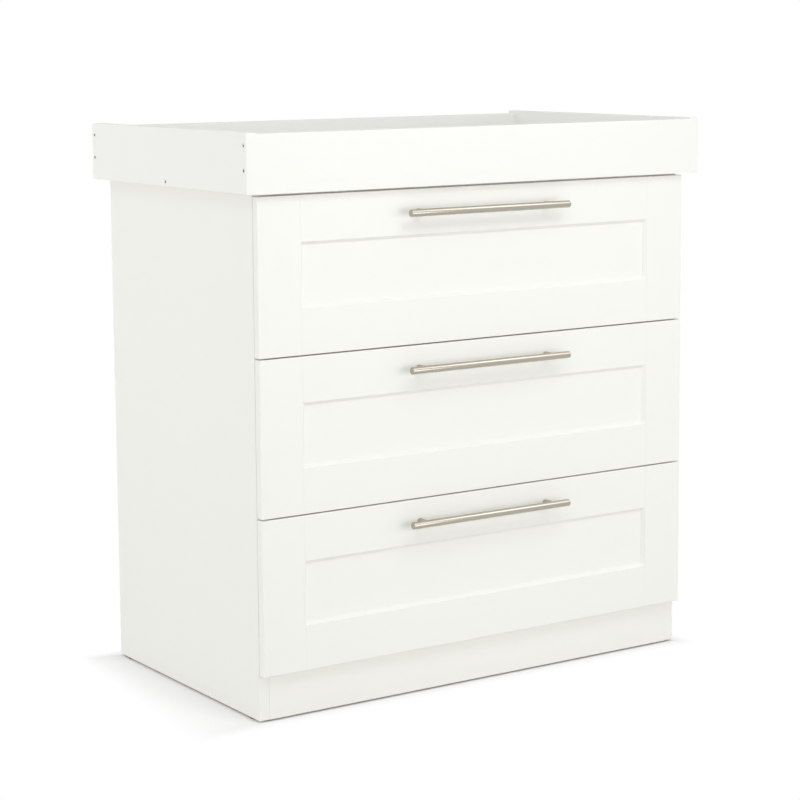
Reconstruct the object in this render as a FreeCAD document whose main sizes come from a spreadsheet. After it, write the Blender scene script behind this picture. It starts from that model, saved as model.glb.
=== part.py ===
import FreeCAD, Part
import math
import os
import re

import Sketcher

# Changing dresser: a carcass of side, top, base and back panels, three drawers with framed overlay
# fronts on roller runners, and a changer tray that stands on the carcass.
# Frame: +X to the right, +Y to the back, +Z up, origin on the floor under the middle of the outline.
# All lengths are millimetres.

SIZES = (
    # carcass
    ("carcass_width", 850),
    ("carcass_depth", 484),
    ("panel_height", 834),
    ("board", 18),
    ("edge_round", 1),
    ("plinth_height", 80),
    ("back_board", 3),
    ("back_inset", 10),
    ("back_groove", 8),
    ("back_foot", 20),
    ("groove_play", 0.2),
    ("glide_diameter", 16),
    ("glide_height", 3),
    ("glide_pin", 5),
    ("glide_pin_length", 12),
    ("glide_inset", 30),
    # cam fittings of the carcass
    ("cam_diameter", 15),
    ("cam_depth", 12.5),
    ("cam_inset", 24),
    ("cam_edge", 60),
    ("bolt_diameter", 6),
    ("bolt_hold", 11),
    ("hole_play", 0.1),
    ("tip_play", 0.4),
    # changer tray
    ("tray_side_overhang", 25),
    ("tray_front_overhang", 29),
    ("tray_back_overhang", 14),
    ("tray_side_height", 95),
    ("tray_front_height", 93),
    ("tray_back_height", 90),
    ("tray_base_board", 16),
    ("tray_round", 1.5),
    ("tray_screw", 5),
    ("tray_screw_head", 8),
    ("tray_screw_length", 50),
    ("tray_screw_low", 37),
    ("tray_screw_high", 75),
    ("peg_diameter", 8),
    ("peg_up", 12),
    ("peg_down", 10),
    ("peg_play", 0.25),
    ("peg_spread", 300),
    ("peg_edge", 90),
    # drawer fronts
    ("front_thickness", 15),
    ("front_rest_gap", 1),
    ("front_gap", 2),
    ("front_top_gap", 4),
    ("plinth_show", 74),
    ("front_round", 1.5),
    ("stile_face", 77),
    ("rail_face", 73),
    ("bevel", 5),
    ("recess", 6),
    ("panel_board", 6),
    ("panel_tongue", 9),
    # drawer boxes
    ("box_rise", 40),
    ("box_board", 12),
    ("box_height", 150),
    ("box_clear", 22),
    ("box_round", 1.5),
    ("bottom_board", 3),
    ("bottom_rise", 10),
    ("bottom_tongue", 6),
    ("front_tongue", 5),
    ("small_cam_diameter", 12),
    ("small_cam_depth", 9.5),
    ("small_cam_inset", 20),
    ("small_cam_low", 37),
    ("small_cam_high", 113),
    ("small_bolt_diameter", 5),
    ("small_bolt_hold", 9),
    ("back_screw", 4),
    ("back_screw_head", 7),
    ("back_screw_length", 40),
    ("back_screw_low", 30),
    ("back_screw_high", 105),
    # handles
    ("bar_length", 318),
    ("bar_diameter", 12),
    ("bar_round", 0.8),
    ("bar_reach", 25),
    ("post_spacing", 256),
    ("post_diameter", 10),
    ("spigot_diameter", 5),
    ("spigot_depth", 7),
    ("handle_play", 0.05),
    ("handle_screw", 4),
    ("handle_screw_head", 8),
    ("handle_screw_head_height", 2.5),
    ("handle_screw_length", 25),
    # runners
    ("runner_space", 13),
    ("runner_overrun", 3),
    ("runner_setback", 2),
    ("runner_sheet", 1.2),
    ("channel_width", 9.5),
    ("channel_clear", 19.5),
    ("flange_cut", 42),
    ("lip_rise", 21.7),
    ("lip_gap", 1.7),
    ("roller_diameter", 18),
    ("roller_width", 7),
    ("roller_round", 0.6),
    ("roller_play", 0.3),
    ("roller_side_play", 0.1),
    ("front_roller_inset", 20),
    ("rear_roller_inset", 15),
    ("front_shoulder", 0.9),
    ("rear_shoulder", 1.3),
    ("pin_diameter", 4),
    ("pin_play", 0.06),
    ("pin_head", 7),
    ("pin_head_height", 0.8),
    ("runner_screw", 4),
    ("runner_screw_head", 7),
    ("runner_screw_length", 14),
    ("runner_screw_first", 37),
    ("runner_screw_last", 29),
    ("flange_screw", 3.5),
    ("flange_screw_head", 7),
    ("flange_screw_head_height", 1.5),
    ("flange_screw_length", 10),
    ("flange_screw_first", 60),
    ("flange_screw_last", 67),
)

# Places worked out from the sizes. Those of a drawer count up from the bottom of its front.
PLACES = {
    "half_width": "carcass_width / 2",
    "side_inner": "half_width - board",
    "front_stand": "front_rest_gap + front_thickness",
    "handle_stand": "front_stand + bar_reach + bar_diameter / 2",
    "carcass_front": "(handle_stand - carcass_depth - tray_back_overhang) / 2",
    "carcass_back": "carcass_front + carcass_depth",
    "carcass_top": "glide_height + panel_height",
    "plinth_top": "glide_height + plinth_height",
    "back_front": "carcass_back - back_inset - back_board",
    "front_back": "carcass_front - front_rest_gap",
    "front_face": "front_back - front_thickness",
    "front_height": "(panel_height - front_top_gap - plinth_show - 2 * front_gap) / 3",
    "stile_width": "stile_face + bevel",
    "rail_height": "rail_face + bevel",
    "opening_half": "half_width - stile_width",
    "tongue_half": "opening_half + panel_tongue - groove_play",
    "box_outer": "side_inner - runner_space",
    "box_inner": "box_outer - box_board",
    "box_rear": "back_front - box_clear",
    "box_length": "box_rear - front_back",
    "bottom_level": "box_rise + bottom_rise",
    "back_level": "bottom_level + bottom_board",
    "bar_axis": "front_face - bar_reach",
    "handle_level": "front_height - rail_face / 2",
    "runner_front": "carcass_front + runner_setback",
    "runner_rear": "box_rear + runner_overrun",
    "channel_floor": "box_rise - runner_sheet",
    "lip_level": "channel_floor + lip_rise",
    "rear_roller_level": "channel_floor + roller_play + roller_diameter / 2",
    "rear_roller_place": "box_rear - rear_roller_inset",
    "front_roller_level": "lip_level - roller_play - roller_diameter / 2",
    "front_roller_place": "runner_front + front_roller_inset",
    "runner_screw_level": "channel_floor + channel_clear / 2",
    "tray_half": "half_width + tray_side_overhang",
    "tray_front": "carcass_front - tray_front_overhang",
    "tray_back": "carcass_back + tray_back_overhang",
    "drawer_1_level": "glide_height + plinth_show + 2 * (front_height + front_gap)",
    "drawer_2_level": "glide_height + plinth_show + front_height + front_gap",
    "drawer_3_level": "glide_height + plinth_show",
}

AXES = {
    "+X": FreeCAD.Vector(1, 0, 0),
    "-X": FreeCAD.Vector(-1, 0, 0),
    "+Y": FreeCAD.Vector(0, 1, 0),
    "-Y": FreeCAD.Vector(0, -1, 0),
    "+Z": FreeCAD.Vector(0, 0, 1),
    "-Z": FreeCAD.Vector(0, 0, -1),
}
DRAWERS = ("1", "2", "3")
# sign of x and the way into the board, for what is the same at the right and the left end of a board
BOTH_ENDS = (("", "-X"), ("-", "+X"))

doc = FreeCAD.newDocument("changing_dresser")
sheet = doc.addObject("Spreadsheet::Sheet", "Sizes")
for row, (alias, value) in enumerate(SIZES, start=1):
    sheet.set(f"A{row}", alias)
    sheet.set(f"B{row}", str(value))
    sheet.setAlias(f"B{row}", alias)
doc.recompute()
size_names = {alias for alias, value in SIZES}
nodes = []


# Formulas and placing

def spell(formula):
    """Spell a formula out in cells of the sheet."""
    def one(found):
        name = found.group(0)
        if name in PLACES:
            return f"({spell(PLACES[name])})"
        return f"Sizes.{name}" if name in size_names else name
    return re.sub(r"[a-z][a-z0-9_]*", one, formula)


def bind(thing, **formulas):
    for setting, formula in formulas.items():
        thing.setExpression(setting, spell(formula))


def place(thing, spot, axis="+Z"):
    """Put a thing at a spot of three formulas, with its own +Z turned to the axis."""
    turn = FreeCAD.Rotation(AXES["+Z"], AXES[axis])
    thing.Placement = FreeCAD.Placement(FreeCAD.Vector(), turn)
    for letter, formula in zip("xyz", spot):
        thing.setExpression(f"Placement.Base.{letter}", spell(formula))


# Shapes of one piece

def new_body(name):
    return doc.addObject("PartDesign::Body", name)


def box(body, name, spot, length, width, height, cut=False):
    """A block from its lowest corner, added to the body or cut from it."""
    kind = "Subtractive" if cut else "Additive"
    feature = body.newObject(f"PartDesign::{kind}Box", name)
    bind(feature, Length=length, Width=width, Height=height)
    place(feature, spot)
    return feature


def rod(body, name, spot, axis, diameter, length, cut=False):
    """A round bar from the middle of its end, added to the body or cut from it."""
    kind = "Subtractive" if cut else "Additive"
    feature = body.newObject(f"PartDesign::{kind}Cylinder", name)
    bind(feature, Radius=f"({diameter}) / 2", Height=length)
    place(feature, spot, axis)
    return feature


def cone(body, name, spot, axis, wide, narrow, length, cut=False):
    kind = "Subtractive" if cut else "Additive"
    feature = body.newObject(f"PartDesign::{kind}Cone", name)
    bind(feature, Radius1=f"({wide}) / 2", Radius2=f"({narrow}) / 2", Height=length)
    place(feature, spot, axis)
    return feature


def edge_names(shape, wanted):
    """Names of the edges whose middle, told as a share of the shape's box, is wanted."""
    bounds = shape.BoundBox
    names = []
    for number, edge in enumerate(shape.Edges, start=1):
        middle = edge.CenterOfMass
        share = (
            (middle.x - bounds.XMin) / bounds.XLength,
            (middle.y - bounds.YMin) / bounds.YLength,
            (middle.z - bounds.ZMin) / bounds.ZLength,
        )
        if wanted(*share):
            names.append(f"Edge{number}")
    return names


def round_edges(body, feature, radius, wanted=None):
    """Round the wanted edges of a feature, or all of them."""
    doc.recompute()
    rounding = body.newObject("PartDesign::Fillet", f"{feature.Name}_rounded")
    rounding.Base = (feature, edge_names(feature.Shape, wanted) if wanted else [""])
    rounding.UseAllEdges = wanted is None
    bind(rounding, Radius=radius)
    return rounding


def pad_section(body, name, plane_name, corners, start, length):
    """A straight strip with the section through corners, from start along the plane's third axis."""
    sketch = body.newObject("Sketcher::SketchObject", f"{name}_section")
    plane = next(thing for thing in body.Origin.OriginFeatures if thing.Role == plane_name)
    sketch.AttachmentSupport = [(plane, "")]
    sketch.MapMode = "FlatFace"
    backwards = plane_name == "XZ_Plane"
    sketch.setExpression("AttachmentOffset.Base.z", spell(f"-({start})" if backwards else start))
    count = len(corners)
    ring = Part.Circle(FreeCAD.Vector(), AXES["+Z"], count)
    points = [ring.value(math.tau * number / count) for number in range(count)]
    for number in range(count):
        sketch.addGeometry(Part.LineSegment(points[number], points[(number + 1) % count]), False)
    for number in range(count):
        sketch.addConstraint(Sketcher.Constraint("Coincident", number, 2, (number + 1) % count, 1))
    for number, corner in enumerate(corners):
        for way, formula in zip(("DistanceX", "DistanceY"), corner):
            index = sketch.addConstraint(Sketcher.Constraint(way, -1, 1, number, 1, 1.0))
            sketch.setExpression(f"Constraints[{index}]", spell(formula))
    pad = body.newObject("PartDesign::Pad", f"{name}_strip")
    pad.Profile = sketch
    pad.Reversed = backwards
    bind(pad, Length=length)
    return pad


def mirrored(piece):
    """The left-hand twin of a right-hand piece."""
    twin = doc.addObject("Part::Mirroring", f"{piece.Name}_mirrored")
    twin.Source = piece
    twin.Normal = AXES["+X"]
    return twin


def group(name, pieces):
    compound = doc.addObject("Part::Compound", name)
    compound.Links = pieces
    return compound


def both_sides(name, piece):
    return group(name, [piece, mirrored(piece)])


def copy_at(piece, name, spot, axis="+Z"):
    link = doc.addObject("App::Link", name)
    link.LinkedObject = piece
    place(link, spot, axis)
    return link


# Screws and cam fittings: each stands on its seat at the origin and points along +Z

def screw(name):
    """A countersunk screw, flush with its seat."""
    body = new_body(name)
    rod(body, f"{name}_shank", ("0", "0", "0"), "+Z", name, f"{name}_length")
    depth = f"({name}_head - {name}) / 2"
    cone(body, f"{name}_cone", ("0", "0", "0"), "+Z", f"{name}_head", name, depth)
    return body


def pan_screw(name):
    """A screw whose head stands on its seat."""
    body = new_body(name)
    rod(body, f"{name}_shank", ("0", "0", "0"), "+Z", name, f"{name}_length")
    rod(body, f"{name}_top", ("0", "0", "0"), "-Z", f"{name}_head", f"{name}_head_height")
    return body


def screw_hole(body, name, screw_name, spot, axis, sunk=True):
    """The hole that a screw needs in a body, with its countersink where the head is sunk."""
    wide = f"{screw_name} + 2 * hole_play"
    rod(body, name, spot, axis, wide, f"{screw_name}_length + tip_play", cut=True)
    if sunk:
        depth = f"({screw_name}_head - {screw_name}) / 2"
        cone(body, f"{name}_sink", spot, axis, f"{screw_name}_head + 2 * hole_play", wide, depth, cut=True)


def cam_fitting(name, size, board):
    """A cam in the face of a board at the origin, and its bolt, which leaves the board along +X."""
    cam = new_body(f"{name}_cam")
    rod(cam, f"{name}_cam_disc", ("0", "0", "0"), "+Z", f"{size}cam_diameter", f"{size}cam_depth")
    bolt_play = f"{size}bolt_diameter + 2 * hole_play"
    axis_spot = ("0", "0", f"{board} / 2")
    rod(cam, f"{name}_cam_mouth", axis_spot, "+X", bolt_play, f"{size}cam_diameter", cut=True)
    bolt = new_body(f"{name}_bolt")
    reach = f"{size}cam_inset + {size}bolt_hold - hole_play"
    rod(bolt, f"{name}_bolt_rod", ("hole_play", "0", f"{board} / 2"), "+X", f"{size}bolt_diameter", reach)
    return group(name, [cam, bolt])


def cam_hole(body, name, size, spot, axis):
    wide = f"{size}cam_diameter + 2 * hole_play"
    rod(body, name, spot, axis, wide, f"{size}cam_depth + tip_play", cut=True)


def bolt_hole(body, name, size, spot, axis, length):
    rod(body, name, spot, axis, f"{size}bolt_diameter + 2 * hole_play", length, cut=True)


carcass_cam = cam_fitting("carcass_cam_fitting", "", "board")
drawer_cam = cam_fitting("drawer_cam_fitting", "small_", "box_board")
tray_screw = screw("tray_screw")
back_screw = screw("back_screw")
runner_screw = screw("runner_screw")
handle_screw = pan_screw("handle_screw")
flange_screw = pan_screw("flange_screw")

# Where the carcass's cam bolts cross from a board into the side panel: (board, y, z)
BOLT_SPOTS = (
    ("top", "carcass_front + cam_edge", "carcass_top - board / 2"),
    ("top", "carcass_back - cam_edge", "carcass_top - board / 2"),
    ("base", "carcass_front + cam_edge", "plinth_top + board / 2"),
    ("base", "carcass_back - cam_edge", "plinth_top + board / 2"),
    ("plinth", "carcass_front + board / 2", "glide_height + plinth_height / 2"),
    ("rear", "back_front - board / 2", "glide_height + plinth_height / 2"),
)
RUNNER_SCREW_STEPS = (
    "runner_front + runner_screw_first",
    "(runner_front + runner_screw_first + runner_rear - runner_screw_last) / 2",
    "runner_rear - runner_screw_last",
)
FLANGE_SCREW_STEPS = ("runner_front + flange_screw_first", "box_rear - flange_screw_last")
GLIDE_SPOTS = ("carcass_front + glide_inset", "carcass_back - glide_inset")
PEG_SPOTS = ("carcass_front + peg_edge", "carcass_back - peg_edge")
# (y, z) of the screws through a tray side: two into each rail, front and back, and one into the base
TRAY_SCREW_SPOTS = (
    ("tray_front + board / 2", "carcass_top + tray_screw_low"),
    ("tray_front + board / 2", "carcass_top + tray_screw_high"),
    ("tray_back - board / 2", "carcass_top + tray_screw_low"),
    ("tray_back - board / 2", "carcass_top + tray_screw_high"),
    ("(tray_front + tray_back) / 2", "carcass_top + tray_base_board / 2"),
)
SMALL_CAM_HEIGHTS = ("box_rise + small_cam_low", "box_rise + small_cam_high")
BACK_SCREW_HEIGHTS = ("back_level + back_screw_low", "back_level + back_screw_high")


# Carcass

def side_panel():
    body = new_body("right_side_panel")
    blank = box(body, "side_blank", ("side_inner", "carcass_front", "glide_height"),
                "board", "carcass_depth", "panel_height")
    round_edges(body, blank, "edge_round")
    box(body, "side_back_groove", ("side_inner", "back_front", "glide_height"),
        "back_groove", "back_board", "panel_height", cut=True)
    for number, (board_name, y, z) in enumerate(BOLT_SPOTS):
        bolt_hole(body, f"side_bolt_hole_{number}", "", ("side_inner", y, z), "+X", "bolt_hold + tip_play")
    for drawer in DRAWERS:
        for number, y in enumerate(RUNNER_SCREW_STEPS):
            spot = ("side_inner - runner_sheet", y, f"drawer_{drawer}_level + runner_screw_level")
            screw_hole(body, f"side_runner_hole_{drawer}{number}", "runner_screw", spot, "+X")
    for number, y in enumerate(GLIDE_SPOTS):
        spot = ("half_width - board / 2", y, "glide_height")
        rod(body, f"side_glide_hole_{number}", spot, "+Z",
            "glide_pin + 2 * hole_play", "glide_pin_length + tip_play", cut=True)
    left = mirrored(body)
    left.Label = "left_side_panel"
    nodes.extend([left, body])


def cam_holes(body, board_name, cam_spot, cam_axis):
    """Cam and bolt holes at both ends of a board; cam_spot gives the y and z of the cam's mouth."""
    spots = [(y, z) for name, y, z in BOLT_SPOTS if name == board_name]
    for number, (y, z) in enumerate(spots):
        for sign, inward in BOTH_ENDS:
            mouth_y, mouth_z = cam_spot(y, z)
            mouth = (f"{sign}(side_inner - cam_inset)", mouth_y, mouth_z)
            side = "left" if sign else "right"
            cam_hole(body, f"{board_name}_cam_hole_{side}_{number}", "", mouth, cam_axis)
            end = (f"{sign}side_inner", y, z)
            bolt_hole(body, f"{board_name}_bolt_hole_{side}_{number}", "", end, inward, "cam_inset")


def top_panel():
    body = new_body("top_panel")
    underside = "carcass_top - board"
    box(body, "top_blank", ("-side_inner", "carcass_front", underside),
        "2 * side_inner", "carcass_depth", "board")
    box(body, "top_back_groove", ("-side_inner", "back_front", underside),
        "2 * side_inner", "back_board", "back_groove", cut=True)
    cam_holes(body, "top", lambda y, z: (y, underside), "+Z")
    for number, y in enumerate(PEG_SPOTS):
        for sign, inward in BOTH_ENDS:
            side = "left" if sign else "right"
            rod(body, f"top_peg_hole_{side}_{number}", (f"{sign}peg_spread", y, "carcass_top"), "-Z",
                "peg_diameter + 2 * peg_play", "peg_down + tip_play", cut=True)
    nodes.append(body)


def base_panel():
    body = new_body("base_panel")
    box(body, "base_blank", ("-side_inner", "carcass_front", "plinth_top"),
        "2 * side_inner", "back_front - carcass_front", "board")
    cam_holes(body, "base", lambda y, z: (y, "plinth_top"), "+Z")
    nodes.append(body)


def front_plinth():
    body = new_body("front_plinth")
    box(body, "plinth_blank", ("-side_inner", "carcass_front", "glide_height"),
        "2 * side_inner", "board", "plinth_height")
    cam_holes(body, "plinth", lambda y, z: ("carcass_front + board", z), "-Y")
    nodes.append(body)


def rear_rail():
    body = new_body("rear_rail")
    box(body, "rear_rail_blank", ("-side_inner", "back_front - board", "glide_height"),
        "2 * side_inner", "board", "plinth_height")
    cam_holes(body, "rear", lambda y, z: ("back_front - board", z), "+Y")
    nodes.append(body)


def back_panel():
    body = new_body("back_panel")
    half = "side_inner + back_groove - groove_play"
    bottom = "glide_height + back_foot"
    box(body, "back_blank", (f"-({half})", "back_front", bottom), f"2 * ({half})", "back_board",
        f"carcass_top - board + back_groove - groove_play - ({bottom})")
    nodes.append(body)


def foot_glides():
    """Plastic glides with a pin, one near each end of the underside of a side panel."""
    body = new_body("glide")
    disc = rod(body, "glide_disc", ("0", "0", "0"), "+Z", "glide_diameter", "glide_height")
    round_edges(body, disc, "edge_round", lambda x, y, z: z < 0.1)
    rod(body, "glide_shank", ("0", "0", "glide_height"), "+Z", "glide_pin", "glide_pin_length")
    right = group("glides_right", [
        copy_at(body, f"glide_{number}", ("half_width - board / 2", y, "0"))
        for number, y in enumerate(GLIDE_SPOTS)])
    nodes.append(both_sides("foot_glides", right))


def cam_fixings():
    """The cams and bolts that hold the carcass's boards between the side panels."""
    cam_faces = {
        "top": ("{y}", "carcass_top - board", "+Z"),
        "base": ("{y}", "plinth_top", "+Z"),
        "plinth": ("carcass_front + board", "{z}", "-Y"),
        "rear": ("back_front - board", "{z}", "+Y"),
    }
    copies = []
    for number, (board_name, y, z) in enumerate(BOLT_SPOTS):
        face_y, face_z, axis = cam_faces[board_name]
        spot = ("side_inner - cam_inset", face_y.format(y=y), face_z.format(z=z))
        copies.append(copy_at(carcass_cam, f"carcass_cam_{number}", spot, axis))
    nodes.append(both_sides("cam_fixings", group("cam_fixings_right", copies)))


# Changer tray

def tray_side():
    body = new_body("tray_right_side")
    blank = box(body, "tray_side_blank", ("tray_half - board", "tray_front", "carcass_top"),
                "board", "tray_back - tray_front", "tray_side_height")
    # the inner edges stay sharp where the rails meet the side
    round_edges(body, blank, "tray_round",
                lambda across, along, up: across > 0.1 or (up > 0.9 and 0.1 < along < 0.9))
    for number, (y, z) in enumerate(TRAY_SCREW_SPOTS):
        screw_hole(body, f"tray_side_hole_{number}", "tray_screw", ("tray_half", y, z), "-X")
    left = mirrored(body)
    left.Label = "tray_left_side"
    nodes.extend([left, body])


def tray_board(name, spots, y, z, width, height, rounded):
    """A board between the tray's sides, drilled at both ends for the screws at spots."""
    body = new_body(name)
    half = "tray_half - board"
    blank = box(body, f"{name}_blank", (f"-({half})", y, z), f"2 * ({half})", width, height)
    if rounded:
        round_edges(body, blank, "tray_round",
                    lambda along, across, up: 0.4 < along < 0.6 and up > 0.9)
    for number, (screw_y, screw_z) in enumerate(spots):
        for sign, inward in BOTH_ENDS:
            side = "left" if sign else "right"
            screw_hole(body, f"{name}_hole_{side}_{number}", "tray_screw",
                       (f"{sign}tray_half", screw_y, screw_z), inward, sunk=False)
    nodes.append(body)
    return body


def tray_base():
    body = tray_board("tray_base", TRAY_SCREW_SPOTS[4:], "tray_front + board", "carcass_top",
                      "tray_back - tray_front - 2 * board", "tray_base_board", False)
    for number, y in enumerate(PEG_SPOTS):
        for sign, inward in BOTH_ENDS:
            side = "left" if sign else "right"
            rod(body, f"tray_peg_hole_{side}_{number}", (f"{sign}peg_spread", y, "carcass_top"), "+Z",
                "peg_diameter + 2 * hole_play", "peg_up + tip_play", cut=True)


def tray_fixings():
    """Screws in the tray's sides, and the pegs that drop into the top panel."""
    screws = [copy_at(tray_screw, f"tray_screw_{number}", ("tray_half", y, z), "-X")
              for number, (y, z) in enumerate(TRAY_SCREW_SPOTS)]
    nodes.append(both_sides("tray_screws", group("tray_screws_right", screws)))
    peg = new_body("peg")
    rod(peg, "peg_rod", ("0", "0", "-peg_down"), "+Z", "peg_diameter", "peg_down + peg_up")
    pegs = [copy_at(peg, f"peg_{number}", ("peg_spread", y, "carcass_top"))
            for number, y in enumerate(PEG_SPOTS)]
    nodes.append(both_sides("tray_locating_pegs", group("pegs_right", pegs)))


# Drawers: each piece is made once, at the level of its front's bottom, and then set at three levels

def front_stile():
    """A stile: bevelled and grooved along the opening, rounded along its other edges."""
    body = new_body("stile")
    strip = pad_section(body, "stile", "XY_Plane", (
        ("opening_half", "front_face + bevel"),
        ("opening_half + bevel", "front_face"),
        ("half_width", "front_face"),
        ("half_width", "front_back"),
        ("opening_half", "front_back"),
        ("opening_half", "front_face + recess + panel_board"),
        ("opening_half + panel_tongue", "front_face + recess + panel_board"),
        ("opening_half + panel_tongue", "front_face + recess"),
        ("opening_half", "front_face + recess"),
    ), "0", "front_height")
    round_edges(body, strip, "front_round",
                lambda x, y, z: x > 0.4 and (y < 0.01 or y > 0.99 or x > 0.99))
    box(body, "stile_bottom_groove", ("opening_half", "front_back - front_tongue", "bottom_level"),
        "box_inner + bottom_tongue - opening_half", "front_tongue", "bottom_board", cut=True)
    for number, height in enumerate(SMALL_CAM_HEIGHTS):
        bolt_hole(body, f"stile_bolt_hole_{number}", "small_",
                  ("box_inner + box_board / 2", "front_back", height), "-Y", "small_bolt_hold + tip_play")
    return both_sides("front_stiles", body)


def front_rail(name, inner, outer):
    """A rail from its edge at the opening to its outer edge, with the stiles' section and a tongue."""
    body = new_body(name)
    up = "+" if name == "top_rail" else "-"
    strip = pad_section(body, name, "YZ_Plane", (
        ("front_face + bevel", inner),
        ("front_face", f"{inner} {up} bevel"),
        ("front_face", outer),
        ("front_back", outer),
        ("front_back", inner),
        ("front_face + recess + panel_board", inner),
        ("front_face + recess + panel_board", f"{inner} {up} panel_tongue"),
        ("front_face + recess", f"{inner} {up} panel_tongue"),
        ("front_face + recess", inner),
    ), "-tongue_half", "2 * tongue_half")
    outer_share = 1 if name == "top_rail" else 0
    round_edges(body, strip, "front_round",
                lambda x, y, z: 0.4 < x < 0.6 and abs(z - outer_share) < 0.01)
    return body


def front_rails(stiles):
    """Both rails, coped to the stiles at their ends."""
    top = front_rail("top_rail", "front_height - rail_height", "front_height")
    for sign, inward in BOTH_ENDS:
        side = "left" if sign else "right"
        rod(top, f"handle_hole_{side}", (f"{sign}post_spacing / 2", "front_back", "handle_level"), "-Y",
            "handle_screw + 2 * hole_play", "front_thickness", cut=True)
    bottom = front_rail("bottom_rail", "rail_height", "0")
    box(bottom, "rail_bottom_groove", ("-tongue_half", "front_back - front_tongue", "bottom_level"),
        "2 * tongue_half", "front_tongue", "bottom_board", cut=True)
    coped = []
    for rail in (top, bottom):
        cut = doc.addObject("Part::Cut", f"{rail.Name}_coped")
        cut.Base = rail
        cut.Tool = stiles
        coped.append(cut)
    return group("front_rails", coped)


def front_panel():
    body = new_body("panel")
    box(body, "panel_blank",
        ("-tongue_half", "front_face + recess", "rail_height - panel_tongue + groove_play"),
        "2 * tongue_half", "panel_board", "front_height - 2 * (rail_height - panel_tongue + groove_play)")
    return body


def box_side():
    body = new_body("box_side")
    blank = box(body, "box_side_blank", ("box_inner", "front_back", "box_rise"),
                "box_board", "box_length", "box_height")
    round_edges(body, blank, "box_round", lambda x, y, z: z > 0.9 and 0.4 < y < 0.6)
    box(body, "box_side_groove", ("box_inner", "front_back", "bottom_level"),
        "bottom_tongue", "box_length", "bottom_board", cut=True)
    for number, height in enumerate(SMALL_CAM_HEIGHTS):
        cam_hole(body, f"box_cam_hole_{number}", "small_",
                 ("box_inner", "front_back + small_cam_inset", height), "+X")
        bolt_hole(body, f"box_bolt_hole_{number}", "small_",
                  ("box_inner + box_board / 2", "front_back", height), "+Y", "small_cam_inset")
    for number, height in enumerate(BACK_SCREW_HEIGHTS):
        screw_hole(body, f"box_back_hole_{number}", "back_screw",
                   ("box_outer", "box_rear - box_board / 2", height), "-X")
    for number, y in enumerate(FLANGE_SCREW_STEPS):
        screw_hole(body, f"box_flange_hole_{number}", "flange_screw",
                   ("box_outer - box_board / 2", y, "channel_floor"), "+Z", sunk=False)
    return body


def box_back():
    body = new_body("box_back")
    box(body, "box_back_blank", ("-box_inner", "box_rear - box_board", "back_level"),
        "2 * box_inner", "box_board", "box_height - bottom_rise - bottom_board")
    for number, height in enumerate(BACK_SCREW_HEIGHTS):
        for sign, inward in BOTH_ENDS:
            side = "left" if sign else "right"
            screw_hole(body, f"back_end_hole_{side}_{number}", "back_screw",
                       (f"{sign}box_outer", "box_rear - box_board / 2", height), inward, sunk=False)
    return body


def box_bottom():
    body = new_body("box_bottom")
    half = "box_inner + bottom_tongue - groove_play"
    box(body, "box_bottom_blank", (f"-({half})", "front_back - front_tongue + groove_play", "bottom_level"),
        f"2 * ({half})", "box_length + front_tongue - groove_play", "bottom_board")
    return body


def handle_bar():
    body = new_body("bar")
    bar = rod(body, "bar_rod", ("-bar_length / 2", "bar_axis", "handle_level"), "+X",
              "bar_diameter", "bar_length")
    round_edges(body, bar, "bar_round", lambda x, y, z: x < 0.1 or x > 0.9)
    for sign, inward in BOTH_ENDS:
        side = "left" if sign else "right"
        rod(body, f"bar_spigot_hole_{side}",
            (f"{sign}post_spacing / 2", "bar_axis + bar_diameter", "handle_level"), "-Y",
            "spigot_diameter + 2 * handle_play", "bar_diameter / 2 + spigot_depth", cut=True)
    return body


def handle_post():
    """A post from the front to the bar, hollowed to the bar's round, with a spigot into the bar."""
    body = new_body("post")
    foot = ("post_spacing / 2", "front_face", "handle_level")
    rod(body, "post_rod", foot, "-Y", "post_diameter", "bar_reach")
    rod(body, "post_saddle", ("-bar_length / 2", "bar_axis", "handle_level"), "+X",
        "bar_diameter + 2 * handle_play", "bar_length", cut=True)
    rod(body, "post_spigot", ("post_spacing / 2", "bar_axis + bar_diameter", "handle_level"), "-Y",
        "spigot_diameter", "bar_diameter / 2 + spigot_depth - tip_play")
    rod(body, "post_bore", foot, "-Y", "handle_screw + 2 * hole_play",
        "handle_screw_length - front_thickness + tip_play", cut=True)
    return both_sides("posts", body)


def handle_screws():
    spot = ("post_spacing / 2", "front_back", "handle_level")
    right = group("handle_screw_right", [copy_at(handle_screw, "handle_screw_copy", spot, "-Y")])
    return both_sides("screws_of_handle", right)


def drawer_runner():
    """Drawer half of a runner: under the box side, up its outside, with a lip over the roller."""
    body = new_body("drawer_member")
    sheet_edge = "box_outer + runner_sheet"
    lip_edge = "side_inner - lip_gap"
    pad_section(body, "drawer_member", "XZ_Plane", (
        ("box_inner", "channel_floor"),
        (sheet_edge, "channel_floor"),
        (sheet_edge, "lip_level"),
        (lip_edge, "lip_level"),
        (lip_edge, "lip_level + runner_sheet"),
        ("box_outer", "lip_level + runner_sheet"),
        ("box_outer", "box_rise"),
        ("box_inner", "box_rise"),
    ), "runner_front", "box_rear - runner_front")
    roller_pin(body, "rear_pin", "box_outer", "rear_roller_place", "rear_roller_level", "+X",
               "rear_shoulder")
    for number, y in enumerate(FLANGE_SCREW_STEPS):
        screw_hole(body, f"member_flange_hole_{number}", "flange_screw",
                   ("box_outer - box_board / 2", y, "channel_floor"), "+Z", sunk=False)
    return both_sides("drawer_members", body)


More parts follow.
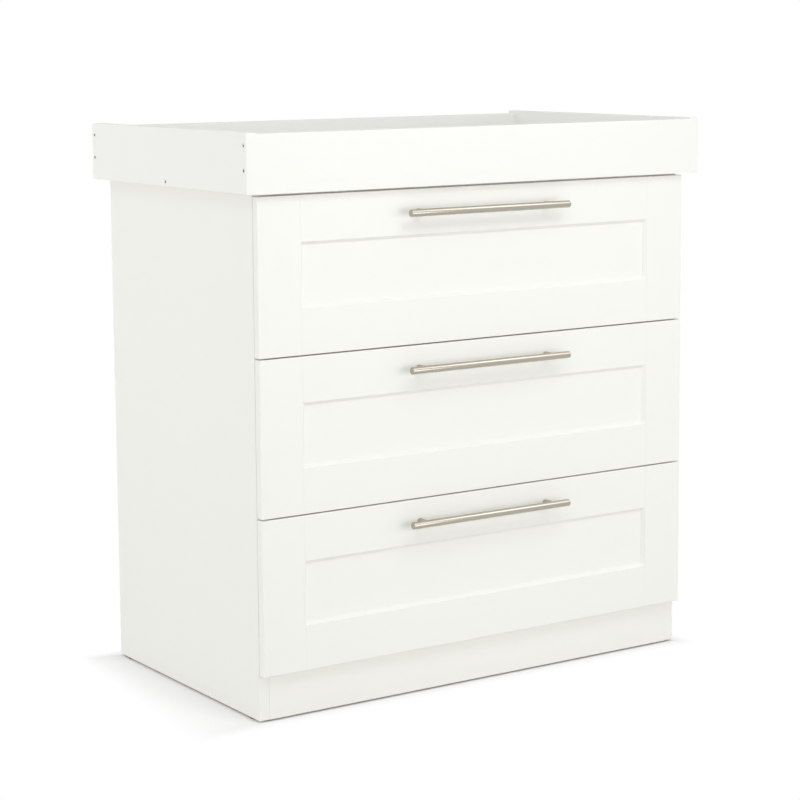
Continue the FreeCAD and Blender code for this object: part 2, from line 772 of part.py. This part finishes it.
def cabinet_runner():
    """Cabinet half of a runner: a channel on the side panel, with a roller at its front end."""
    body = new_body("cabinet_member")
    web = "side_inner - runner_sheet"
    edge = "side_inner - channel_width"
    roof = "channel_floor + channel_clear"
    pad_section(body, "cabinet_member", "XZ_Plane", (
        ("side_inner", "channel_floor - runner_sheet"),
        ("side_inner", f"{roof} + runner_sheet"),
        (edge, f"{roof} + runner_sheet"),
        (edge, roof),
        (web, roof),
        (web, "channel_floor"),
        (edge, "channel_floor"),
        (edge, "channel_floor - runner_sheet"),
    ), "runner_front", "runner_rear - runner_front")
    box(body, "cabinet_member_notch", (edge, "runner_front", roof),
        "channel_width - runner_sheet", "flange_cut", "runner_sheet", cut=True)
    roller_pin(body, "front_pin", "side_inner", "front_roller_place", "front_roller_level", "-X",
               "front_shoulder")
    for number, y in enumerate(RUNNER_SCREW_STEPS):
        screw_hole(body, f"member_screw_hole_{number}", "runner_screw",
                   (web, y, "runner_screw_level"), "+X")
    return both_sides("cabinet_members", body)


def roller_pin(body, name, x, y, z, axis, shoulder):
    """A riveted pin through the sheet from x: shoulder, running part and head."""
    way = axis[0]
    rod(body, f"{name}_shoulder", (x, y, z), axis, "pin_head", f"runner_sheet + {shoulder}")
    running = f"runner_sheet + {shoulder} + roller_width + 2 * roller_side_play"
    rod(body, f"{name}_running", (x, y, z), axis, "pin_diameter", running)
    rod(body, f"{name}_rivet", (f"{x} {way} ({running})", y, z), axis, "pin_head", "pin_head_height")


def roller(name, x, y, z):
    """A plastic roller along +X from x, bored to run on its pin."""
    body = new_body(name)
    disc = rod(body, f"{name}_disc", (x, y, z), "+X", "roller_diameter", "roller_width")
    round_edges(body, disc, "roller_round", lambda along, across, up: along < 0.1 or along > 0.9)
    rod(body, f"{name}_bore", (x, y, z), "+X", "pin_diameter + 2 * pin_play", "roller_width", cut=True)
    return both_sides(f"{name}s", body)


def drawer_fixings():
    copies = []
    for number, height in enumerate(SMALL_CAM_HEIGHTS):
        copies.append(cam_into_front(number, height))
    for number, height in enumerate(BACK_SCREW_HEIGHTS):
        copies.append(copy_at(back_screw, f"back_screw_{number}",
                              ("box_outer", "box_rear - box_board / 2", height), "-X"))
    for number, y in enumerate(FLANGE_SCREW_STEPS):
        copies.append(copy_at(flange_screw, f"flange_screw_{number}",
                              ("box_outer - box_board / 2", y, "channel_floor"), "+Z"))
    return both_sides("fixings", group("fixings_right", copies))


def cam_into_front(number, height):
    """A cam in the inner face of a box side, its bolt pointing forward into the stile."""
    link = copy_at(drawer_cam, f"drawer_cam_{number}",
                   ("box_inner", "front_back + small_cam_inset", height))
    # the fitting's own +Z goes to +X, into the side, and its bolt's +X goes to -Y, to the front
    turn = FreeCAD.Rotation(AXES["-Y"], AXES["-Z"], AXES["+X"], "ZXY")
    link.Placement = FreeCAD.Placement(FreeCAD.Vector(), turn)
    return link


side_panel()
top_panel()
base_panel()
front_plinth()
rear_rail()
back_panel()
foot_glides()
cam_fixings()

tray_side()
tray_board("tray_front_rail", TRAY_SCREW_SPOTS[:2], "tray_front", "carcass_top",
           "board", "tray_front_height", True)
tray_board("tray_back_rail", TRAY_SCREW_SPOTS[2:4], "tray_back - board", "carcass_top",
           "board", "tray_back_height", True)
tray_base()
tray_fixings()

stiles = front_stile()
cabinet_members = cabinet_runner()
right_side_of_box = box_side()
drawer_pieces = {
    "front_stiles": stiles,
    "front_rails": front_rails(stiles),
    "front_panel": front_panel(),
    "box_left_side": mirrored(right_side_of_box),
    "box_right_side": right_side_of_box,
    "box_back": box_back(),
    "box_bottom": box_bottom(),
    "handle_bar": handle_bar(),
    "handle_posts": handle_post(),
    "handle_screws": handle_screws(),
    "runners": drawer_runner(),
    "rear_rollers": roller("rear_roller", "box_outer + runner_sheet + rear_shoulder + roller_side_play",
                           "rear_roller_place", "rear_roller_level"),
    "cabinet_rollers": roller(
        "cabinet_roller",
        "side_inner - runner_sheet - front_shoulder - roller_side_play - roller_width",
        "front_roller_place", "front_roller_level"),
    "fixings": drawer_fixings(),
}
for drawer in DRAWERS:
    for name, piece in drawer_pieces.items():
        copy = group(f"drawer_{drawer}_{name}", [piece])
        place(copy, ("0", "0", f"drawer_{drawer}_level"))
        nodes.append(copy)

# What is on the side panels at each drawer's level
runner_copies = []
screw_copies = []
for drawer in DRAWERS:
    level = f"drawer_{drawer}_level"
    runner_copies.append(copy_at(cabinet_members, f"runner_copy_{drawer}", ("0", "0", level)))
    for number, y in enumerate(RUNNER_SCREW_STEPS):
        spot = ("side_inner - runner_sheet", y, f"{level} + runner_screw_level")
        screw_copies.append(copy_at(runner_screw, f"runner_screw_{drawer}{number}", spot, "+X"))
nodes.append(group("cabinet_runners", runner_copies))
nodes.append(both_sides("runner_screws", group("runner_screws_right", screw_copies)))

# Check, then write one STEP file for each node
doc.recompute()
for thing in doc.Objects:
    if "Invalid" in thing.State or "Error" in thing.State:
        raise RuntimeError(f"{thing.Label} did not compute: {thing.State}")
os.makedirs("parts", exist_ok=True)
for node in nodes:
    if node.Shape.isNull() or not node.Shape.isValid():
        raise RuntimeError(f"{node.Label} has no valid shape")
for node in nodes:
    node.Shape.exportStep(f"parts/{node.Label}.step")
print(f"{len(nodes)} nodes, {sum(len(node.Shape.Solids) for node in nodes)} solids")
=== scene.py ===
import math

import bmesh
import bpy
from mathutils import Matrix, Vector


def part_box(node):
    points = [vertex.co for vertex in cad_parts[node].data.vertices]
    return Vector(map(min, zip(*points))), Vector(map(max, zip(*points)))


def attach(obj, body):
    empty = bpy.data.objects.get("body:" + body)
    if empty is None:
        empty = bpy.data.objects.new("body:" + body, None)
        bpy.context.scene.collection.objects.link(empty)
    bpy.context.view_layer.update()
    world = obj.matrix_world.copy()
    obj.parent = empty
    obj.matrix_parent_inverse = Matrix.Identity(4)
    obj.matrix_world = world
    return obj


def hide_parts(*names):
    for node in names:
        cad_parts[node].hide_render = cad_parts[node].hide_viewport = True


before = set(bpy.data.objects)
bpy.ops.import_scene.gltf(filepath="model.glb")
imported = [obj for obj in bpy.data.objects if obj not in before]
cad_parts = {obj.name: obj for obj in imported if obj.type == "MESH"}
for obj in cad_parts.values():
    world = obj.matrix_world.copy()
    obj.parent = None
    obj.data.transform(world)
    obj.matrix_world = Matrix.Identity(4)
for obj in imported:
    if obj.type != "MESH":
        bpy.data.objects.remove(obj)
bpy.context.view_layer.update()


# Carcass boards: sides, top, base, plinth and rear rail, all 18 mm chipboard under a white satin
# foil. The foil is a warm white with a fine orange peel, and its sheen is a little uneven.

class Wire:
    """The output of one node in a recipe. Arithmetic on wires adds Math nodes."""

    def __init__(self, recipe, socket):
        self.recipe = recipe
        self.socket = socket

    def maths(self, operation, *values):
        return self.recipe.add("ShaderNodeMath", {"operation": operation}, dict(enumerate(values)))

    def __add__(self, other):
        return self.maths("ADD", self, other)

    def __radd__(self, other):
        return self.maths("ADD", other, self)

    def __sub__(self, other):
        return self.maths("SUBTRACT", self, other)

    def __rsub__(self, other):
        return self.maths("SUBTRACT", other, self)

    def __mul__(self, other):
        return self.maths("MULTIPLY", self, other)

    def __rmul__(self, other):
        return self.maths("MULTIPLY", other, self)

    def __truediv__(self, other):
        return self.maths("DIVIDE", self, other)

    def __pow__(self, other):
        return self.maths("POWER", self, other)

    def __lt__(self, other):
        return self.maths("LESS_THAN", self, other)

    def __gt__(self, other):
        return self.maths("GREATER_THAN", self, other)

    def __abs__(self):
        return self.maths("ABSOLUTE", self)

    def at_least(self, other):
        """The larger of the two."""
        return self.maths("MAXIMUM", self, other)

    def clipped(self):
        """The value, kept between 0 and 1."""
        return self.maths("MINIMUM", self.at_least(0.0), 1.0)


class Recipe:
    """The nodes of one finish, or of the room's light."""

    def __init__(self, tree):
        self.tree = tree
        tree.nodes.clear()

    def add(self, kind, settings, sockets, output=0):
        """Adds a node: its settings first, then the value or wire of each socket."""
        node = self.tree.nodes.new(kind)
        for name, value in settings.items():
            setattr(node, name, value)
        for name, value in sockets.items():
            if isinstance(value, Wire):
                self.tree.links.new(value.socket, node.inputs[name])
            else:
                node.inputs[name].default_value = value
        return Wire(self, node.outputs[output]) if node.outputs else None

    def place(self):
        """The point on the piece, in metres in the frame of the whole dresser."""
        return self.add("ShaderNodeTexCoord", {}, {}, "Object")

    def along(self, axis):
        """One coordinate of that point."""
        return self.add("ShaderNodeSeparateXYZ", {}, {"Vector": self.place()}, "XYZ".index(axis))

    def stretched(self, scales):
        """That point with each coordinate times its scale, for a pattern with a direction."""
        return self.add("ShaderNodeMapping", {"vector_type": "POINT"},
                        {"Vector": self.place(), "Scale": scales})

    def cloud(self, scale, detail=2.0, vector=None):
        """Smooth noise from 0 to 1, with scale as its waves in a metre."""
        return self.add("ShaderNodeTexNoise", {},
                        {"Vector": vector or self.place(), "Scale": scale, "Detail": detail})

    def shade(self, share, first, second):
        """A colour from first to second."""
        return self.add("ShaderNodeMix", {"data_type": "RGBA"}, {0: share, 6: first, 7: second}, 2)

    def relief(self, height, depth, strength=1.0):
        """A normal for a surface that rises by depth metres where height is 1."""
        return self.add("ShaderNodeBump", {},
                        {"Height": height, "Distance": depth, "Strength": strength})

    def finish(self, sockets):
        """The surface itself."""
        surface = self.add("ShaderNodeBsdfPrincipled", {}, sockets)
        self.add("ShaderNodeOutputMaterial", {}, {"Surface": surface})


def new_finish(name):
    """A new material, and the recipe that is to fill it."""
    material = bpy.data.materials.new(name)
    material.use_nodes = True
    return material, Recipe(material.node_tree)


def coat(material, *names):
    """Gives CAD nodes their finish."""
    for name in names:
        for material_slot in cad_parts[name].material_slots:
            material_slot.material = material


def foil(recipe, dark, light):
    """The sockets of a white satin foil between two near whites."""
    drift = recipe.cloud(2.2, 3.0)
    speck = recipe.cloud(420.0, 2.0)
    peel = recipe.cloud(640.0, 1.0)
    return {
        "Base Color": recipe.shade(drift * 0.8 + speck * 0.2, dark, light),
        "Roughness": 0.40 + 0.08 * recipe.cloud(38.0, 3.0),
        "Normal": recipe.relief(peel, 0.00002),
        "IOR": 1.46,
    }


foil_dark = (0.912, 0.914, 0.878, 1)
foil_light = (0.935, 0.937, 0.901, 1)
carcass_foil, recipe = new_finish("white_foil")
recipe.finish(foil(recipe, foil_dark, foil_light))
coat(carcass_foil, "left_side_panel", "right_side_panel", "top_panel", "base_panel",
     "front_plinth", "rear_rail")


# Back panel: 3 mm hardboard, coated white towards the drawers and raw brown fibre behind.
# It slides in grooves in the sides and the top.

raw_skin = 0.0004
raw_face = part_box("back_panel")[1][1] - raw_skin
material, recipe = new_finish("hardboard")
fibre = recipe.cloud(260.0, 6.0, recipe.stretched((1.0, 1.0, 0.45)))
raw = recipe.shade(fibre, (0.36, 0.235, 0.135, 1), (0.52, 0.37, 0.235, 1))
white = recipe.shade(recipe.cloud(5.0), (0.86, 0.865, 0.83, 1), (0.89, 0.895, 0.86, 1))
behind = recipe.along("Y") > raw_face
recipe.finish({
    "Base Color": recipe.shade(behind, white, raw),
    "Roughness": 0.45 + 0.30 * behind + 0.1 * fibre,
    "Normal": recipe.relief(fibre * behind, 0.0003, 0.6),
})
coat(material, "back_panel")


# Foot glides: four grey moulded plastic pads under the side panels, 3 mm thick, with the grain of
# their mould. Each has a pin that is pressed into the edge of its panel.

material, recipe = new_finish("glide_plastic")
grain = recipe.cloud(1500.0, 2.0)
recipe.finish({
    "Base Color": recipe.shade(recipe.cloud(60.0),
                               (0.17, 0.165, 0.155, 1), (0.22, 0.215, 0.20, 1)),
    "Roughness": 0.50 + 0.15 * grain,
    "Normal": recipe.relief(grain, 0.00008, 0.7),
})
coat(material, "foot_glides")


# Cam fittings, runner screws and the screws of the drawers: zinc plated steel and die castings.
# The plating is mottled, with a soft shine.

def in_each_drawer(*endings):
    """The names of the nodes with these endings in all three drawers."""
    return [f"drawer_{number}_{ending}" for number in (1, 2, 3) for ending in endings]


material, recipe = new_finish("zinc_fitting")
mottle = recipe.cloud(700.0, 4.0)
recipe.finish({
    "Base Color": recipe.shade(mottle, (0.46, 0.47, 0.48, 1), (0.64, 0.65, 0.66, 1)),
    "Metallic": 1.0,
    "Roughness": 0.30 + 0.20 * mottle,
    "Normal": recipe.relief(mottle, 0.00004, 0.6),
})
coat(material, "cam_fixings", "runner_screws", *in_each_drawer("handle_screws", "fixings"))


# Drawer runners: folded steel in a cream white enamel, screwed to the sides and the boxes.
# Each drawer rolls on four nylon wheels on steel pins.

material, recipe = new_finish("runner_enamel")
ripple = recipe.cloud(330.0, 2.0)
recipe.finish({
    "Base Color": recipe.shade(recipe.cloud(12.0, 3.0),
                               (0.74, 0.74, 0.70, 1), (0.80, 0.80, 0.76, 1)),
    "Roughness": 0.28 + 0.12 * ripple,
    "Normal": recipe.relief(ripple, 0.00006),
    "Coat Weight": 0.25,
})
coat(material, "cabinet_runners", *in_each_drawer("runners"))

material, recipe = new_finish("roller_nylon")
scuff = recipe.cloud(1100.0, 3.0)
recipe.finish({
    "Base Color": recipe.shade(scuff, (0.72, 0.72, 0.67, 1), (0.82, 0.82, 0.77, 1)),
    "Roughness": 0.38 + 0.18 * scuff,
    "Normal": recipe.relief(scuff, 0.00005),
    "Subsurface Weight": 0.15,
    "Subsurface Radius": (0.002, 0.002, 0.0018),
})
coat(material, *in_each_drawer("rear_rollers", "cabinet_rollers"))


# Drawer boxes: 12 mm boards in a pebbled white laminate, with a bottom of white coated
# hardboard. The bottom slides in a groove round the box.

material, recipe = new_finish("box_laminate")
pebble = recipe.cloud(900.0, 1.0)
recipe.finish({
    "Base Color": recipe.shade(recipe.cloud(4.0, 3.0),
                               (0.83, 0.835, 0.80, 1), (0.87, 0.875, 0.84, 1)),
    "Roughness": 0.46 + 0.14 * pebble,
    "Normal": recipe.relief(pebble, 0.00008),
})
coat(material, *in_each_drawer("box_left_side", "box_right_side", "box_back"))

material, recipe = new_finish("drawer_bottom")
weave = recipe.cloud(380.0, 4.0)
recipe.finish({
    "Base Color": recipe.shade(recipe.cloud(6.0, 3.0),
                               (0.82, 0.825, 0.79, 1), (0.86, 0.865, 0.83, 1)),
    "Roughness": 0.50 + 0.12 * weave,
    "Normal": recipe.relief(weave, 0.00006),
})
coat(material, *in_each_drawer("box_bottom"))


# Drawer fronts: two stiles and two rails round a sunk panel, in the same white foil as the
# carcass. The rails are coped to the stiles, and the joint shows as a hairline.

joint_line = 0.348
hairline = 0.0003
seam_shade = (0.80, 0.80, 0.76, 1)

material, recipe = new_finish("front_foil")
sockets = foil(recipe, foil_dark, foil_light)
seam = abs(abs(recipe.along("X")) - joint_line) < hairline
sockets["Base Color"] = recipe.shade(seam * recipe.cloud(5.0), sockets["Base Color"], seam_shade)
recipe.finish(sockets)
coat(material, *in_each_drawer("front_stiles", "front_rails"))
coat(carcass_foil, *in_each_drawer("front_panel"))


# Drawer handles: a round bar on two posts, in satin nickel with a warm tone.
# The bar is turned, with eased ends, and each post is held by a screw through the front.

half_bar = 0.159
bar_radius = 0.006
bar_ease = 0.0012          # the rounding of its ends
half_post_gap = 0.128
post_radius = 0.005
post_ease = 0.0005
post_sink = 0.003          # how far a post stands in the bar
front_face = -0.2415
bar_line = -0.2665         # the middle of the bar, in front of the drawer front
bar_boxes = [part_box(name) for name in in_each_drawer("handle_bar")]
bar_heights = [(low[2] + high[2]) / 2 for low, high in bar_boxes]
along_x = (0, math.pi / 2, 0)
along_y = (math.pi / 2, 0, 0)
tolerance = 1e-5
smooth_angle = math.radians(40)


def pick(test, kind="FACE"):
    """Selects the faces or edges whose middle and direction pass the test, in edit mode."""
    bpy.ops.mesh.select_mode(type=kind)
    bpy.ops.mesh.select_all(action="DESELECT")
    shape = bmesh.from_edit_mesh(bpy.context.object.data)
    if kind == "FACE":
        for face in shape.faces:
            face.select_set(test(face.calc_center_median(), face.normal))
    else:
        for edge in shape.edges:
            first, second = (corner.co for corner in edge.verts)
            edge.select_set(test((first + second) / 2, (second - first).normalized()))
    bmesh.update_edit_mesh(bpy.context.object.data)


def rod(name, radius, length, middle, turn, sides):
    """A round rod to be shaped in edit mode, with its place in its mesh."""
    bpy.ops.object.select_all(action="DESELECT")
    bpy.ops.mesh.primitive_cylinder_add(vertices=sides, radius=radius, depth=length,
                                        location=middle, rotation=turn)
    bpy.context.object.name = name
    bpy.ops.object.transform_apply(location=True, rotation=True, scale=True)
    bpy.ops.object.mode_set(mode="EDIT")
    return bpy.context.object


def done(piece, material):
    """Leaves edit mode, and gives the piece its finish and smooth faces."""
    bpy.ops.object.mode_set(mode="OBJECT")
    bpy.ops.object.shade_smooth_by_angle(angle=smooth_angle)
    piece.data.materials.clear()
    piece.data.materials.append(material)


def copy_of(piece, name, shift, turn=0):
    """The piece again with its own mesh, turned about the upright axis and then shifted."""
    bpy.ops.object.select_all(action="DESELECT")
    piece.select_set(True)
    bpy.context.view_layer.objects.active = piece
    bpy.ops.object.duplicate(linked=False)
    copy = bpy.context.object
    copy.name = name
    copy.rotation_euler.z = turn
    copy.location = shift
    bpy.ops.object.transform_apply(location=True, rotation=True, scale=True)
    return copy


def join(piece, others):
    """Makes the others part of the piece."""
    bpy.ops.object.select_all(action="DESELECT")
    for other in others:
        other.select_set(True)
    piece.select_set(True)
    bpy.context.view_layer.objects.active = piece
    bpy.ops.object.join()


nickel, recipe = new_finish("satin_nickel")
brushing = recipe.cloud(1.0, 4.0, recipe.stretched((60.0, 2600.0, 2600.0)))
patch = recipe.cloud(45.0, 2.0)
recipe.finish({
    "Base Color": recipe.shade(brushing, (0.395, 0.365, 0.31, 1), (0.47, 0.435, 0.37, 1)),
    "Metallic": 1.0,
    "Roughness": 0.15 + 0.06 * patch,
    "Normal": recipe.relief(brushing, 0.00001, 0.5),
})

bar = rod("handle_bar_1", bar_radius, 2 * half_bar, (0, bar_line, bar_heights[0]), along_x,
          sides=48)
pick(lambda middle, way: abs(abs(middle.x) - half_bar) < tolerance and abs(way.x) < 0.1, "EDGE")
bpy.ops.mesh.bevel(offset=bar_ease, segments=4, profile=0.5)
done(bar, nickel)

posts = rod("handle_posts_1", post_radius, front_face - bar_line - post_sink,
            (half_post_gap, (front_face + bar_line + post_sink) / 2, bar_heights[0]), along_y,
            sides=40)
pick(lambda middle, way: middle.y > front_face - tolerance and abs(way.y) < 0.1, "EDGE")
bpy.ops.mesh.bevel(offset=post_ease, segments=3, profile=0.5)
done(posts, nickel)
join(posts, [copy_of(posts, "other_post", (-2 * half_post_gap, 0, 0))])

for number, height in enumerate(bar_heights, 1):
    drop = (0, 0, height - bar_heights[0])
    this_bar = bar if number == 1 else copy_of(bar, f"handle_bar_{number}", drop)
    these_posts = posts if number == 1 else copy_of(posts, f"handle_posts_{number}", drop)
    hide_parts(f"drawer_{number}_handle_bar")
    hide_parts(f"drawer_{number}_handle_posts")
    for piece in (this_bar, these_posts):
        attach(piece, f"drawer_{number}")


# Changer tray: four boards and a base that stand on the dresser, in a slightly cooler white
# than it. Pegs under the base hold the tray in its place.

tray_foil, recipe = new_finish("tray_foil")
recipe.finish(foil(recipe, (0.908, 0.911, 0.882, 1), (0.931, 0.934, 0.905, 1)))
coat(tray_foil, "tray_left_side", "tray_right_side", "tray_front_rail", "tray_back_rail",
     "tray_base", "tray_locating_pegs")


# Tray bolts: five a side, countersunk and flush, in bright zinc; the hexagon socket is painted
# shade, near black.
# They hold the tray's sides to the ends of its rails and its base.

head_radius = 0.004
head_depth = 0.0015
shank_radius = 0.0025
bolt_length = 0.050
socket_radius = 0.0021
socket_depth = 0.0030
bolt_face = 0.450
bolt_spots = [(-0.2455, 0.874), (-0.2455, 0.912), (0.2635, 0.874), (0.2635, 0.912), (0.009, 0.845)]

bright_zinc, recipe = new_finish("bolt_zinc")
mottle = recipe.cloud(700.0, 4.0)
recipe.finish({
    "Base Color": recipe.shade(mottle, (0.70, 0.71, 0.71, 1), (0.82, 0.82, 0.81, 1)),
    "Metallic": 1.0,
    "Roughness": 0.32 + 0.16 * mottle,
    "Normal": recipe.relief(mottle, 0.00003, 0.6),
})
# The socket is a real hexagon hole, but its near-black colour is painted shade for the hole's
# inside, mottled a little.
socket_painted_shade, recipe = new_finish("screw_dark")
painted_shade_mottle = recipe.cloud(900.0, 4.0)
recipe.finish({
    "Base Color": recipe.shade(painted_shade_mottle, (0.09, 0.086, 0.08, 1), (0.16, 0.153, 0.142, 1)),
    "Metallic": 0.6,
    "Roughness": 0.45 + 0.2 * painted_shade_mottle,
    "Normal": recipe.relief(painted_shade_mottle, 0.00003),
})

first_y, first_z = bolt_spots[0]
bolts = rod("tray_bolts", shank_radius, bolt_length - head_depth,
            (bolt_face - (bolt_length + head_depth) / 2, first_y, first_z), along_x, sides=24)
pick(lambda middle, way: way.x > 0.9)
bpy.ops.mesh.extrude_region_move(TRANSFORM_OT_translate={"value": (head_depth, 0, 0)})
spread = head_radius / shank_radius
bpy.ops.transform.resize(value=(1, spread, spread), center_override=(bolt_face, first_y, first_z))
done(bolts, bright_zinc)
socket = rod("socket", socket_radius, 2 * socket_depth, (bolt_face, first_y, first_z), along_x,
             sides=6)
done(socket, socket_painted_shade)
bpy.context.view_layer.objects.active = bolts
cut = bolts.modifiers.new("socket", "BOOLEAN")
cut.object = socket
cut.material_mode = "TRANSFER"
bpy.ops.object.modifier_apply(modifier=cut.name)
bpy.data.objects.remove(socket)

# The left bolts are the right ones turned half round, so their heads face left.
right_bolts = [copy_of(bolts, "bolt", (0, y - first_y, z - first_z)) for y, z in bolt_spots[1:]]
left_bolts = [copy_of(bolts, "bolt", (0, y + first_y, z - first_z), math.pi) for y, z in bolt_spots]
join(bolts, right_bolts + left_bolts)
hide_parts("tray_screws")
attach(bolts, "changer_tray")


# The room: a pale floor that keeps the dresser's shadow and is white further off, soft light from
# all round, soft lamps in front, on the left, behind and above, and the camera where the
# photograph was taken.

floor_size = 40
foot_half_width = 0.425    # the ground that the dresser covers
foot_half_depth = 0.242
foot_middle = 0.0165
left_shadow = 0.10         # how far the floor keeps its shadow to the left of it,
left_slant = 0.12          # how much further towards the front,
near_shadow = 0.03         # and how far round the other sides
lit_paper = (0.70, 0.695, 0.66, 1)
seen_paper = (0.96, 0.96, 0.955, 1)
pure_white = (1, 1, 1, 1)


def rays(recipe, kind):
    """1 for rays of this kind and 0 for others."""
    return recipe.add("ShaderNodeLightPath", {}, {}, f"Is {kind} Ray")


bpy.ops.object.select_all(action="DESELECT")
bpy.ops.mesh.primitive_plane_add(size=floor_size, location=(0, 0, 0))
floor = bpy.context.object
floor.name = "floor"
material, recipe = new_finish("floor")
seen = rays(recipe, "Camera") + rays(recipe, "Glossy") + rays(recipe, "Transmission")
across = recipe.along("X")
deep = recipe.along("Y") - foot_middle
left = ((-foot_half_width - across) / (left_shadow - left_slant * deep)).clipped()
beyond = (abs(deep) - foot_half_depth).at_least(across - foot_half_width) / near_shadow
far = left.at_least(beyond.clipped() ** 0.5)
matt = recipe.add("ShaderNodeBsdfDiffuse", {}, {"Color": recipe.shade(seen, lit_paper, seen_paper)})
glow = recipe.add("ShaderNodeEmission", {}, {"Color": pure_white, "Strength": 1.0})
both = recipe.add("ShaderNodeMixShader", {}, {0: far * seen, 1: matt, 2: glow})
recipe.add("ShaderNodeOutputMaterial", {}, {"Surface": both})
floor.data.materials.append(material)

room_light = 0.60
softbox_side = (0.60, -0.46, 0.66)    # a bright patch of the room, seen only in what shines
softbox_light = 2.3
softbox_edge = 26.0                   # the higher, the smaller the patch
world = bpy.data.worlds.new("room")
world.use_nodes = True
bpy.context.scene.world = world
recipe = Recipe(world.node_tree)
glossy = rays(recipe, "Glossy")
seen = rays(recipe, "Camera") + glossy + rays(recipe, "Transmission")
way = recipe.add("ShaderNodeTexCoord", {}, {}, "Generated")
toward = recipe.add("ShaderNodeVectorMath", {"operation": "DOT_PRODUCT"},
                    {0: way, 1: softbox_side}, "Value")
softbox = softbox_light * toward.at_least(0.0) ** softbox_edge
strength = room_light + (1 - room_light) * seen + softbox * glossy
glow = recipe.add("ShaderNodeBackground", {}, {"Color": pure_white, "Strength": strength})
recipe.add("ShaderNodeOutputWorld", {}, {"Surface": glow})


def lamp(name, place, target, width, height, power):
    """A soft rectangular lamp that faces the target."""
    turn = (Vector(target) - Vector(place)).to_track_quat("-Z", "Y").to_euler()
    bpy.ops.object.light_add(type="AREA", location=place, rotation=turn)
    light = bpy.context.object
    light.name = name
    light.data.shape = "RECTANGLE"
    light.data.size = width
    light.data.size_y = height
    light.data.energy = power
    return light


# Each lamp has its place, what it faces, its width, its height and its power in watts.
lamp("high_lamp", (0, -1.3, 1.85), (0, -0.25, 0.45), 0.45, 0.45, 4.2)
lamp("front_lamp", (0.3, -3.3, 0.62), (0, -0.2, 0.30), 2.0, 1.2, 21.6)
lamp("left_lamp", (-3.2, 0.3, 0.7), (-0.45, 0.0, 0.4), 2.0, 1.2, 21.8)
right_lamp = lamp("right_lamp", (2.2, -2.8, 0.8), (0, -0.2, 0.35), 1.6, 1.2, 8.5)
right_lamp.visible_glossy = False
lamp("rear_left_lamp", (-2.0, 1.6, 1.9), (0.4, 0.0, 0.9), 1.2, 1.0, 4.5)
lamp("high_left_lamp", (-1.7, -2.1, 2.2), (0, 0, 0.7), 1.2, 0.8, 6.5)

camera_place = (-2.1402, -3.2090, 1.0754)
camera_turn = math.radians(-33.658)
camera_tilt = math.radians(90 - 7.216)
camera_lean = math.radians(-0.423)
bpy.ops.object.camera_add()
camera = bpy.context.object
camera.data.sensor_width = 36
camera.data.lens = 100.95
camera.data.shift_y = -0.100
camera.matrix_world = (Matrix.Translation(camera_place)
                       @ Matrix.Rotation(camera_turn, 4, "Z")
                       @ Matrix.Rotation(camera_tilt, 4, "X")
                       @ Matrix.Rotation(camera_lean, 4, "Z"))
bpy.context.scene.camera = camera
bpy.context.scene.view_settings.view_transform = "Standard"


# Brings the scene up to date.

bpy.context.view_layer.update()
